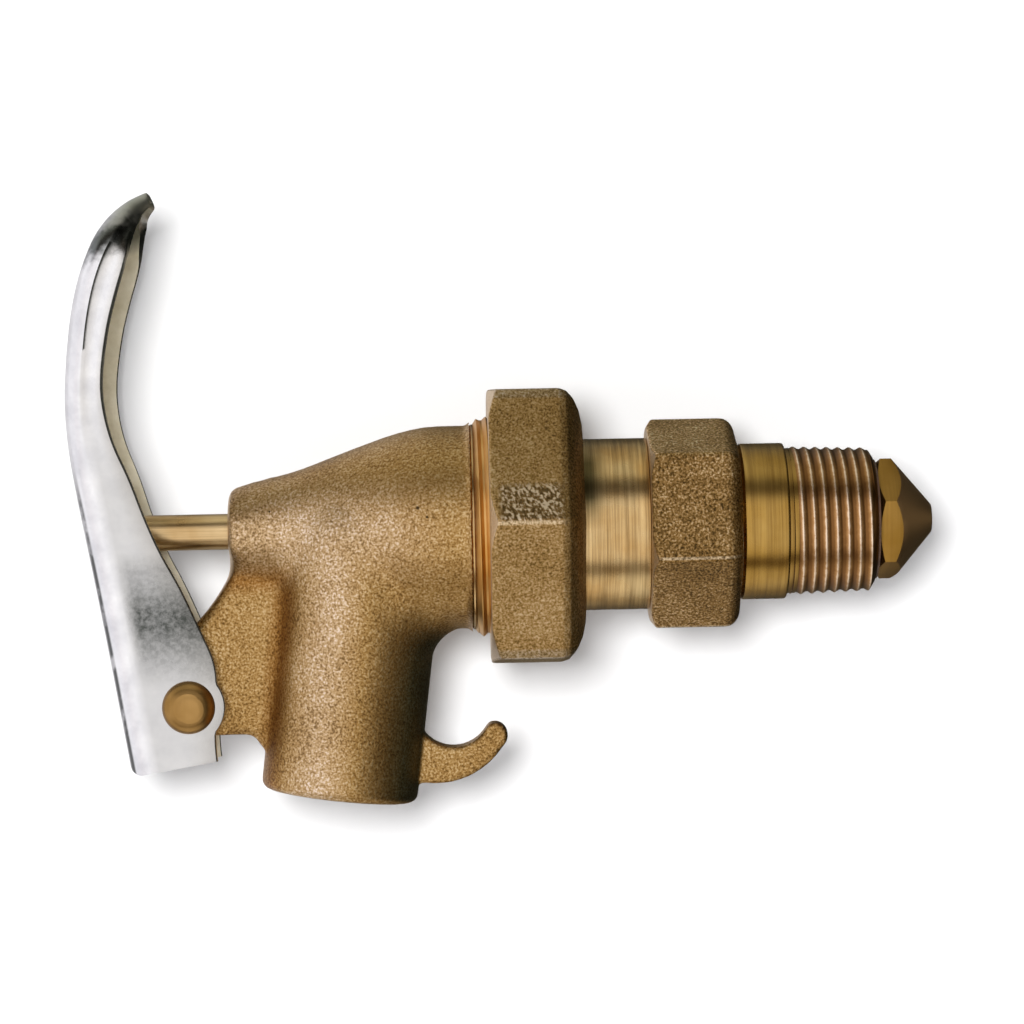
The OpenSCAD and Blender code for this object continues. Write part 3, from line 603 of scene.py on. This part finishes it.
body = cast_skin("body", "body_casting", 0.42, 4)
soften(body, elbow_sides, 160)
soften(body, lug_root, 220)
soften(body, lug_top, 140)
cut_off(body, -62.6, -25.0)
boss_lift = [(-105.5, -0.7), (-103.5, -0.5), (-101, 0.2), (-98, 0.6), (-88, 0.5), (-80, 0.1), (-74, 0)]
for vertex in body.data.vertices:
    x, y, z = vertex.co / MM
    vertex.co.z += lookup(x, boss_lift) * fade(z, 2, 7) * MM
finish_piece(body, body_bronze, "tap_body", ["body"])

# %% [markdown]
# ## The union thread on the body
# Only its first turns show beside the nut: a relief, a crest and the start of the next groove.
# The thread is a short zigzag profile carried round the axis while it advances one pitch a turn.


# %% Threads
def thread(name, start, turns, pitch, root, crest, steps=72):
    """A helical ridge: one pitch of profile screwed round the inlet axis."""
    profile = [(0, root), (0.1, root), (0.46, crest), (0.54, crest), (0.9, root), (1, root)]
    mesh = bpy.data.meshes.new(name)
    points = [((start + t * pitch) * MM, 0, r * MM) for t, r in profile]
    mesh.from_pydata(points, [(i, i + 1) for i in range(len(points) - 1)], [])
    obj = bpy.data.objects.new(name, mesh)
    bpy.context.scene.collection.objects.link(obj)
    apply_modifier(obj, "SCREW", axis="X", angle=math.tau, screw_offset=pitch * MM, iterations=turns,
                   steps=steps, render_steps=steps, use_merge_vertices=True, merge_threshold=0.002 * MM)
    return obj


def shape_points(obj, change):
    """Moves every point of obj: change gets x and the radius in mm and returns new ones."""
    for vertex in obj.data.vertices:
        x, radius = vertex.co.x / MM, math.hypot(vertex.co.y, vertex.co.z) / MM
        new_x, new_radius = change(x, radius)
        vertex.co.x = new_x * MM
        if radius > 0:
            vertex.co.y *= new_radius / radius
            vertex.co.z *= new_radius / radius


union_thread = thread("union_thread", -64.2, 4, 1.81, 18.9, 19.5)


def trim_union(x, radius):
    run_in = 17.6 + max(0.0, x + 62.4) * 1.6
    return min(max(x, -62.5), -57.2), min(radius, run_in, 19.6)


shape_points(union_thread, trim_union)
finish_piece(union_thread, union_brass, "tap_body", (), 30)
body_end = turned("union_face", rounded([
    (-62.6, 13.7), (-49.0, 13.7), (-49.0, 18.8), (-49.8, 19.5), (-57.4, 19.5), (-57.4, 18.2), (-62.3, 18.2),
    (-62.6, 17.95)
], 0.15))
finish_piece(body_end, brass, "tap_body", (), 30)

# %% [markdown]
# ## The union nut and the adapter's hexagon
# Both are castings with a turned face, so they get the same cast skin with crisper corners.

# %% Nut and hexagon
nut = cast_skin("union_nut", "union_nut_casting", 0.34, 2)
finish_piece(nut, nut_bronze, "union_nut", ["union_nut"])

hexagon = cast_skin("inlet_adapter", "adapter_hexagon", 0.3, 2)
cut_off(hexagon, -15.25)
finish_piece(hexagon, hexagon_bronze, "inlet", ["inlet_adapter"])

# %% [markdown]
# ## The turned neck, the taper thread and the seat
# The neck is turned behind the hexagon. The pipe thread is cut on a slight taper, so its crests
# fall by a little over half a millimetre towards the drum, and its first turn is chamfered.

# %% Neck and thread
neck = turned("adapter_neck", rounded([
    (-16.4, 9.0), (-16.4, 13.2), (-15.0, 13.4), (-14.6, 13.85), (-7.3, 13.85), (-7.0, 13.75), (-6.9, 13.5),
    (-6.85, 12.9), (-5.2, 12.9), (-5.1, 9.6)
], 0.15))
finish_piece(neck, gold_brass, "inlet", (), 30)

THREAD_START, THREAD_END, THREAD_PITCH = -6.1, 8.8, 2.0
pipe_thread = thread("inlet_thread", THREAD_START - THREAD_PITCH, 9, THREAD_PITCH, 12.78, 13.2, 96)


def taper(x, radius):
    """The taper along the thread, its run-out at the neck and the chamfer at the end."""
    radius -= 0.5 * (x - THREAD_START) / (THREAD_END - THREAD_START)
    run_out = 13.0 + max(0.0, x - THREAD_START) * 0.6
    chamfer = 11.3 + max(0.0, THREAD_END - x) * 1.7
    return min(max(x, THREAD_START), THREAD_END), min(radius, run_out, chamfer)


shape_points(pipe_thread, taper)
finish_piece(pipe_thread, thread_brass, "inlet", (), 35)
seat = turned("valve_seat", [(-5.0, 9.5), (8.75, 9.5), (8.8, 9.6), (8.8, 11.15), (8.6, 11.3), (-5.0, 11.5)])
finish_piece(seat, thread_brass, "inlet", (), 30)

# %% [markdown]
# ## The union tail
# A plain turned tube: its collar sits in the nut, and its other end is screwed into the adapter.

# %% Tail tube
tail = turned("union_tail_tube", rounded([
    (-20.2, 10.45), (-47.9, 10.45), (-48.0, 10.6), (-48.0, 18.3), (-47.6, 18.65), (-45.3, 18.65),
    (-45.3, 15.2), (-31.25, 15.2), (-31.22, 13.2), (-21.0, 13.2), (-20.2, 12.6), (-20.2, 10.45)
], 0.2))
finish_piece(tail, tube_brass, "inlet", ["union_tail"], 30)

# %% [markdown]
# ## The lever
# The real lever starts as a flat blank. Here a flat grid is the blank: each row becomes one folded
# section of the channel, set along the lever's bent line. Solidify then gives it the sheet's 1.5 mm and
# a small bevel breaks the cut edges. The tables say how the heading, depth and width change along it,
# and how far the press rolled the free edges in, which show as a black line along the pad.

# %% Lever tables
HEADING = [(0, 9.6), (53.8, 9.6), (62, 4.7), (71, -2.8), (80, -7.7), (87, -14.1), (95.5, -24.3),
           (101.5, -45.4), (109.4, -70)]
DEPTH = [(0, 15.5), (3.4, 15.8), (16.5, 18.6), (22.3, 17.1), (32, 14.7), (37, 12.9), (44, 11.3), (52, 10.1),
         (59, 8.4), (66, 7.6), (71, 7.4), (80, 7.8), (88, 8.2), (94, 8.1), (100, 7.2), (104, 5.3), (109.4, 2.4)]
HALF_WIDTH = [(0, 5.8), (22, 5.8), (34, 6.8), (46, 9), (58, 12), (70, 14.2), (88, 14.6), (93, 14.5),
              (97, 13.9), (100, 12.9), (103, 11.4), (105, 9.8), (107, 7.4), (108.4, 5), (109.4, 3.4)]
PAD = [(48, 0), (74, 1), (99, 1), (107, 0)]
EDGE = [(30, 0.35), (60, 0.45), (72, 0.6), (104, 0.6), (109, 0.4)]
BEAD = [(54, 0), (68, 0.24), (80, 0.3), (99, 0.32), (107, 0)]
FOOT = Vector((-123.27, -42.9))
LENGTH, SHEET, BEND, CROWN, EYE, HEEL, TIP = 109.2, 1.5, 3.0, 0.7, 6.5, 2.2, 1.1
PIVOT = Vector((-112.9, -30.7))


def eased(value, table, reach=3.0):
    """The table's value averaged over a short stretch, so its corners turn into curves."""
    samples = [lookup(value + reach * k / 4, table) for k in range(-4, 5)]
    return sum(samples) / len(samples)


# %% Lever sections
ROWS = 165
web_line, at = [], FOOT.copy()
for row in range(ROWS + 1):
    s = LENGTH * row / ROWS
    web_line.append((s, at.copy()))
    heading = math.radians(lookup(s + LENGTH / ROWS / 2, HEADING))
    at += Vector((-math.sin(heading), math.cos(heading))) * LENGTH / ROWS

foot_heading = math.radians(HEADING[0][1])
along = Vector((-math.sin(foot_heading), math.cos(foot_heading)))
inward = Vector((math.cos(foot_heading), math.sin(foot_heading)))
pivot_along, pivot_depth = (PIVOT - FOOT).dot(along), (PIVOT - FOOT).dot(inward)


def flange_depth(s):
    reach = abs(s - pivot_along)
    eye = math.sqrt(EYE ** 2 - reach ** 2) if reach < EYE else -99
    return max(eased(s, DEPTH), pivot_depth + eye)


def half_section(s, rolled=1.0):
    """(half width, depth) from the flange's edge to the middle of the web, on the outer face."""
    depth, pad = flange_depth(s), eased(s, PAD)
    bend = min(BEND, 0.6 * depth)
    crown = min(CROWN * pad, 0.1 * depth)
    half, bead = eased(s, HALF_WIDTH), eased(s, BEAD)
    top = bend + crown
    joggle = top + min(0.5, 0.4 * (depth - top))
    edge = min(eased(s, EDGE), 0.35 * (depth - joggle))
    points = [(half - 0.55 * edge * rolled, depth), (half - 0.1 * edge * rolled, depth - 0.8 * edge), (half, depth - edge),
              (half, depth * 0.5 + joggle * 0.5), (half, joggle)]
    for k in range(9):
        a = math.radians(90 * k / 8)
        points.append((half + bead - bend + bend * math.cos(a), top - bend * math.sin(a)))
    flat = half + bead - bend
    points += [(flat * 0.8, crown * 0.75), (flat * 0.55, crown * 0.35), (flat * 0.3, crown * 0.1), (0, 0)]
    return points


def heel_lift(s, depth):
    """How far a point near the foot moves up the lever, so the web's lower corner is round."""
    if depth >= HEEL or s >= 6:
        return 0.0
    corner = HEEL - math.sqrt(HEEL ** 2 - (HEEL - max(depth, 0.0)) ** 2)
    return corner * (1 - s / 6)


def tip_drop(s, depth):
    """How far a point near the tip moves back down, so the free corner of each flange is round."""
    start = flange_depth(s) - TIP
    if depth <= start or s <= LENGTH - 4:
        return 0.0
    corner = TIP - math.sqrt(max(0.0, TIP ** 2 - (depth - start) ** 2))
    return corner * (s - LENGTH + 4) / 4


# %% Fold the blank
half = half_section(0)
columns = 2 * len(half) - 1
bpy.ops.mesh.primitive_grid_add(x_subdivisions=columns - 1, y_subdivisions=ROWS, size=1)
lever = bpy.context.object
lever.name = lever.data.name = "lever_pressing"
for vertex in lever.data.vertices:
    column = round((vertex.co.x + 0.5) * (columns - 1))
    row = round((vertex.co.y + 0.5) * ROWS)
    s, base = web_line[row]
    heading = math.radians(eased(s, HEADING))
    side = 1 if column < len(half) else -1
    points = half_section(s, 1.0 if side < 0 else 0.1)
    width, depth = points[column] if side > 0 else points[columns - 1 - column]
    up = Vector((-math.sin(heading), math.cos(heading)))
    place = base + depth * Vector((math.cos(heading), math.sin(heading)))
    place += (heel_lift(s, depth) - tip_drop(s, depth)) * up
    vertex.co = Vector((place.x, side * width, place.y)) * MM
only(lever)
bpy.ops.object.mode_set(mode="EDIT")
bpy.ops.mesh.select_all(action="SELECT")
bpy.ops.mesh.normals_make_consistent(inside=False)
bpy.ops.object.mode_set(mode="OBJECT")
web_face = min(lever.data.polygons, key=lambda f: f.center.x)
if web_face.normal.x > 0:
    only(lever)
    bpy.ops.object.mode_set(mode="EDIT")
    bpy.ops.mesh.select_all(action="SELECT")
    bpy.ops.mesh.flip_normals()
    bpy.ops.object.mode_set(mode="OBJECT")
lever.data.materials.append(plated)
lever.data.materials.append(dull_plated)
apply_modifier(lever, "SOLIDIFY", thickness=SHEET * MM, offset=-1.0, use_even_offset=True, material_offset=1)
apply_modifier(lever, "BEVEL", width=0.3 * MM, segments=2, limit_method="ANGLE", angle_limit=math.radians(50))
finish_piece(lever, None, "lever", ["lever"], 35)

# %% [markdown]
# ## The rivet
# Its near head was formed by a hollow punch: a low dome round a small flat disc, a little off centre.

# %% Rivet
reach = 5.8
rivet = turned("pivot_rivet_headed", rounded([
    (-reach - 1.7, 0.0), (-reach - 1.7, 2.6), (-reach - 0.8, 4.3), (-reach, 4.3), (-reach, 2.95), (reach, 2.95),
    (reach, 4.7), (reach + 0.6, 4.65), (reach + 1.5, 4.2), (reach + 2.2, 3.4), (reach + 2.6, 2.5),
    (reach + 2.68, 2.2), (reach + 2.8, 1.7), (reach + 2.84, 0.0)
], 0.3), 64)
for vertex in rivet.data.vertices:
    x, y, z = vertex.co
    if x > 0 and math.hypot(y, z) < 2.5 * MM:
        y, z = y + 0.35 * MM, z - 0.25 * MM
    vertex.co = (PIVOT.x * MM + y, -x, PIVOT.y * MM + z)
finish_piece(rivet, rivet_brass, "lever", ["pivot_rivet"], 30)

# %% [markdown]
# ## The poppet
# Turned from hexagon bar: the six flats remain, and the nose cone cuts curved edges into them.

# %% Poppet
poppet = copy_of("poppet", "poppet_turned")
apply_modifier(poppet, "BEVEL", width=0.25 * MM, segments=2, limit_method="ANGLE", angle_limit=math.radians(25))
finish_piece(poppet, poppet_brass, "valve_stem", ["poppet"], 30)

# %% [markdown]
# ## Pieces that stay as the frame gives them
# Each still gets its own material, chosen from what it is made of.

# %% Carried-over pieces
CARRIED = {
    "valve_stem": drawn_brass, "stem_guide": brass, "spring_collar": brass, "packing_washer": brass,
    "packing_gland": brass, "collar_clip": drawn_steel, "arrester_screen": drawn_steel, "screen_ring": drawn_steel, "seal_washer": drawn_steel,
    "union_gasket": ptfe, "packing_ring_1": ptfe, "packing_ring_2": ptfe, "packing_ring_3": ptfe,
    "seal_disc": seal_rubber,
}
for name, material in CARRIED.items():
    nodes[name].data.materials.clear()
    nodes[name].data.materials.append(material)
    smooth(nodes[name], 35)

# %% [markdown]
# ## The closing spring
# When the lever is pressed, the collar on the stem shortens the spring against the guide. Here the coil
# keeps the frame's shape: a smooth copy with a mesh of its own that moves with the inlet.

# %% Spring
spring = copy_of("closing_spring", "closing_spring_coil")
finish_piece(spring, drawn_steel, "inlet", ["closing_spring"], 60)
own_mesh(spring)

# %% [markdown]
# ## Camera
# The photograph was taken about level with the tap from a little over half a metre.

# %% Camera
target = Vector((-0.0552, 0, 0.0025))
camera_data = bpy.data.cameras.new("camera")
camera = bpy.data.objects.new("camera", camera_data)
bpy.context.scene.collection.objects.link(camera)
camera.location = (-0.066, -0.65, 0.0163)
camera_data.lens = 128.6
camera_data.clip_start = 0.01
roll = Matrix.Rotation(math.radians(-1.12), 4, "Z")
aim = (target - camera.location).to_track_quat("-Z", "Y").to_matrix().to_4x4()
camera.matrix_world = Matrix.Translation(camera.location) @ aim @ roll
bpy.context.scene.camera = camera

# %% [markdown]
# ## Studio
# A white card stands just behind the tap and takes its soft shadow; it is clear from the back, so the
# tap can be seen from there too. The floor is a pale sheet well below. The metals mirror a light tent, which
# is drawn by the world: a bright front and left, darker gaps above and below, and a dark right side.

# %% Card and floor
def sheet_object(name, corners, material):
    """A stage sheet that takes light and shadow, and isn't mirrored in the metals."""
    mesh = bpy.data.meshes.new(name)
    mesh.from_pydata(corners, [], [(0, 1, 2, 3)])
    obj = bpy.data.objects.new(name, mesh)
    bpy.context.scene.collection.objects.link(obj)
    obj.data.materials.append(material)
    obj.visible_glossy = False
    return obj


def pale_sheet(name, colour):
    """Matte pale material that is clear from behind."""
    material, tree, shader, place = new_material(name)
    fibres = noise(tree, place, 900, 3, 0.6)
    shader.inputs["Base Color"].default_value = rgb(colour)
    shader.inputs["Roughness"].default_value = 1.0
    tree.links.new(bump(tree, fibres, 0.00002, 0.2), shader.inputs["Normal"])
    facing = add(tree, "ShaderNodeNewGeometry").outputs["Backfacing"]
    clear = add(tree, "ShaderNodeBsdfTransparent").outputs["BSDF"]
    mix = add(tree, "ShaderNodeMixShader", {"Fac": facing})
    tree.links.new(shader.outputs["BSDF"], mix.inputs[1])
    tree.links.new(clear, mix.inputs[2])
    tree.links.new(mix.outputs["Shader"], tree.nodes["Material Output"].inputs["Surface"])
    return material


card = sheet_object("backdrop_card", [(-0.6, 0.0285, -0.6), (0.6, 0.0285, -0.6), (0.6, 0.0285, 0.6), (-0.6, 0.0285, 0.6)],
                    pale_sheet("white_card", "#f0f0f0"))
floor = sheet_object("studio_floor", [(-0.6, -0.6, -0.13), (0.6, -0.6, -0.13), (0.6, 0.6, -0.13), (-0.6, 0.6, -0.13)],
                     pale_sheet("pale_floor", "#e9e9ec"))

# %% World
world = bpy.data.worlds.new("light_tent")
bpy.context.scene.world = world
world.use_nodes = True
tree = world.node_tree
tree.nodes.clear()
direction = add(tree, "ShaderNodeTexCoord").outputs["Generated"]
parts = add(tree, "ShaderNodeSeparateXYZ", {"Vector": direction})
toward = product(tree, parts.outputs["Y"], -1.0)
height_angle = add(tree, "ShaderNodeMath", {0: parts.outputs["Z"], 1: toward}, operation="ARCTAN2").outputs[0]
level = remap(tree, height_angle, -math.pi, math.pi, 0.0, 1.0)


def at_angle(degrees):
    return 0.5 + degrees / 360


bands = ramp(tree, level, [
    (at_angle(-180), "#454138"), (at_angle(-150), "#5a564a"), (at_angle(-122), "#9a9486"),
    (at_angle(-102), "#e9e6e0"), (at_angle(-76), "#e9e6e0"), (at_angle(-68), "#6a5c48"),
    (at_angle(-56), "#6a5c48"), (at_angle(-48), "#faf8f7"), (at_angle(32), "#faf8f7"),
    (at_angle(43), "#453e33"), (at_angle(60), "#453e33"), (at_angle(72), "#cdccbe"),
    (at_angle(110), "#bcbcb0"), (at_angle(150), "#45443c"), (at_angle(180), "#454138"),
])
sideways = parts.outputs["X"]
sides = ramp(tree, remap(tree, sideways, -1.0, 1.0, 0.0, 1.0), [
    (0.0, "#f4f2f4"), (0.2, "#f2f0f2"), (0.5, "#ffffff"), (0.7, "#e6e3de"), (0.84, "#2a2b25"), (0.93, "#2b2c26"),
    (1.0, "#605e57"),
])
tent_colour = mix_colours(tree, 1.0, bands, sides, "MULTIPLY")
tent_colour = mix_colours(tree, remap(tree, sideways, -0.6, -0.85, 0.0, 1.0), tent_colour, rgb("#eceaec"))
tent_colour = mix_colours(tree, remap(tree, sideways, 0.93, 1.0, 0.0, 1.0), tent_colour, rgb("#8c8470"))
behind = remap(tree, toward, -0.05, -0.35, 0.0, 1.0)
behind_left = product(tree, behind, remap(tree, sideways, -0.02, -0.3, 0.0, 0.9))
tent_colour = mix_colours(tree, behind_left, tent_colour, rgb("#d9d7d9"))
behind_right = product(tree, behind, remap(tree, sideways, 0.1, 0.4, 0.0, 0.8))
tent_colour = mix_colours(tree, behind_right, tent_colour, rgb("#2b2b26"))
tent_light = add(tree, "ShaderNodeBackground", {"Color": tent_colour, "Strength": 1.25}).outputs["Background"]
fill_light = add(tree, "ShaderNodeBackground", {"Color": (1, 1, 1, 1), "Strength": 0.3}).outputs["Background"]
white = add(tree, "ShaderNodeBackground", {"Color": (1, 1, 1, 1), "Strength": 1.0}).outputs["Background"]
rays = add(tree, "ShaderNodeLightPath")
on_metal = add(tree, "ShaderNodeMixShader", {"Fac": rays.outputs["Is Diffuse Ray"]})
tree.links.new(tent_light, on_metal.inputs[1])
tree.links.new(fill_light, on_metal.inputs[2])
shown = add(tree, "ShaderNodeMixShader", {"Fac": rays.outputs["Is Camera Ray"]})
tree.links.new(on_metal.outputs["Shader"], shown.inputs[1])
tree.links.new(white, shown.inputs[2])
out = add(tree, "ShaderNodeOutputWorld")
tree.links.new(shown.outputs["Shader"], out.inputs["Surface"])


# %% Lamps
def lamp(name, place, aim_at, size, power, colour="#ffffff"):
    data = bpy.data.lights.new(name, "AREA")
    data.shape = "DISK"
    data.size = size
    data.energy = power
    data.color = rgb(colour)[:3]
    obj = bpy.data.objects.new(name, data)
    bpy.context.scene.collection.objects.link(obj)
    obj.location = place
    obj.rotation_euler = (Vector(aim_at) - Vector(place)).to_track_quat("-Z", "Y").to_euler()
    obj.visible_glossy = False
    return obj


lamp("key_lamp", (-0.15, -0.75, 0.088), (-0.06, 0, 0), 0.2, 5.75)

bpy.context.scene.view_settings.view_transform = "Standard"
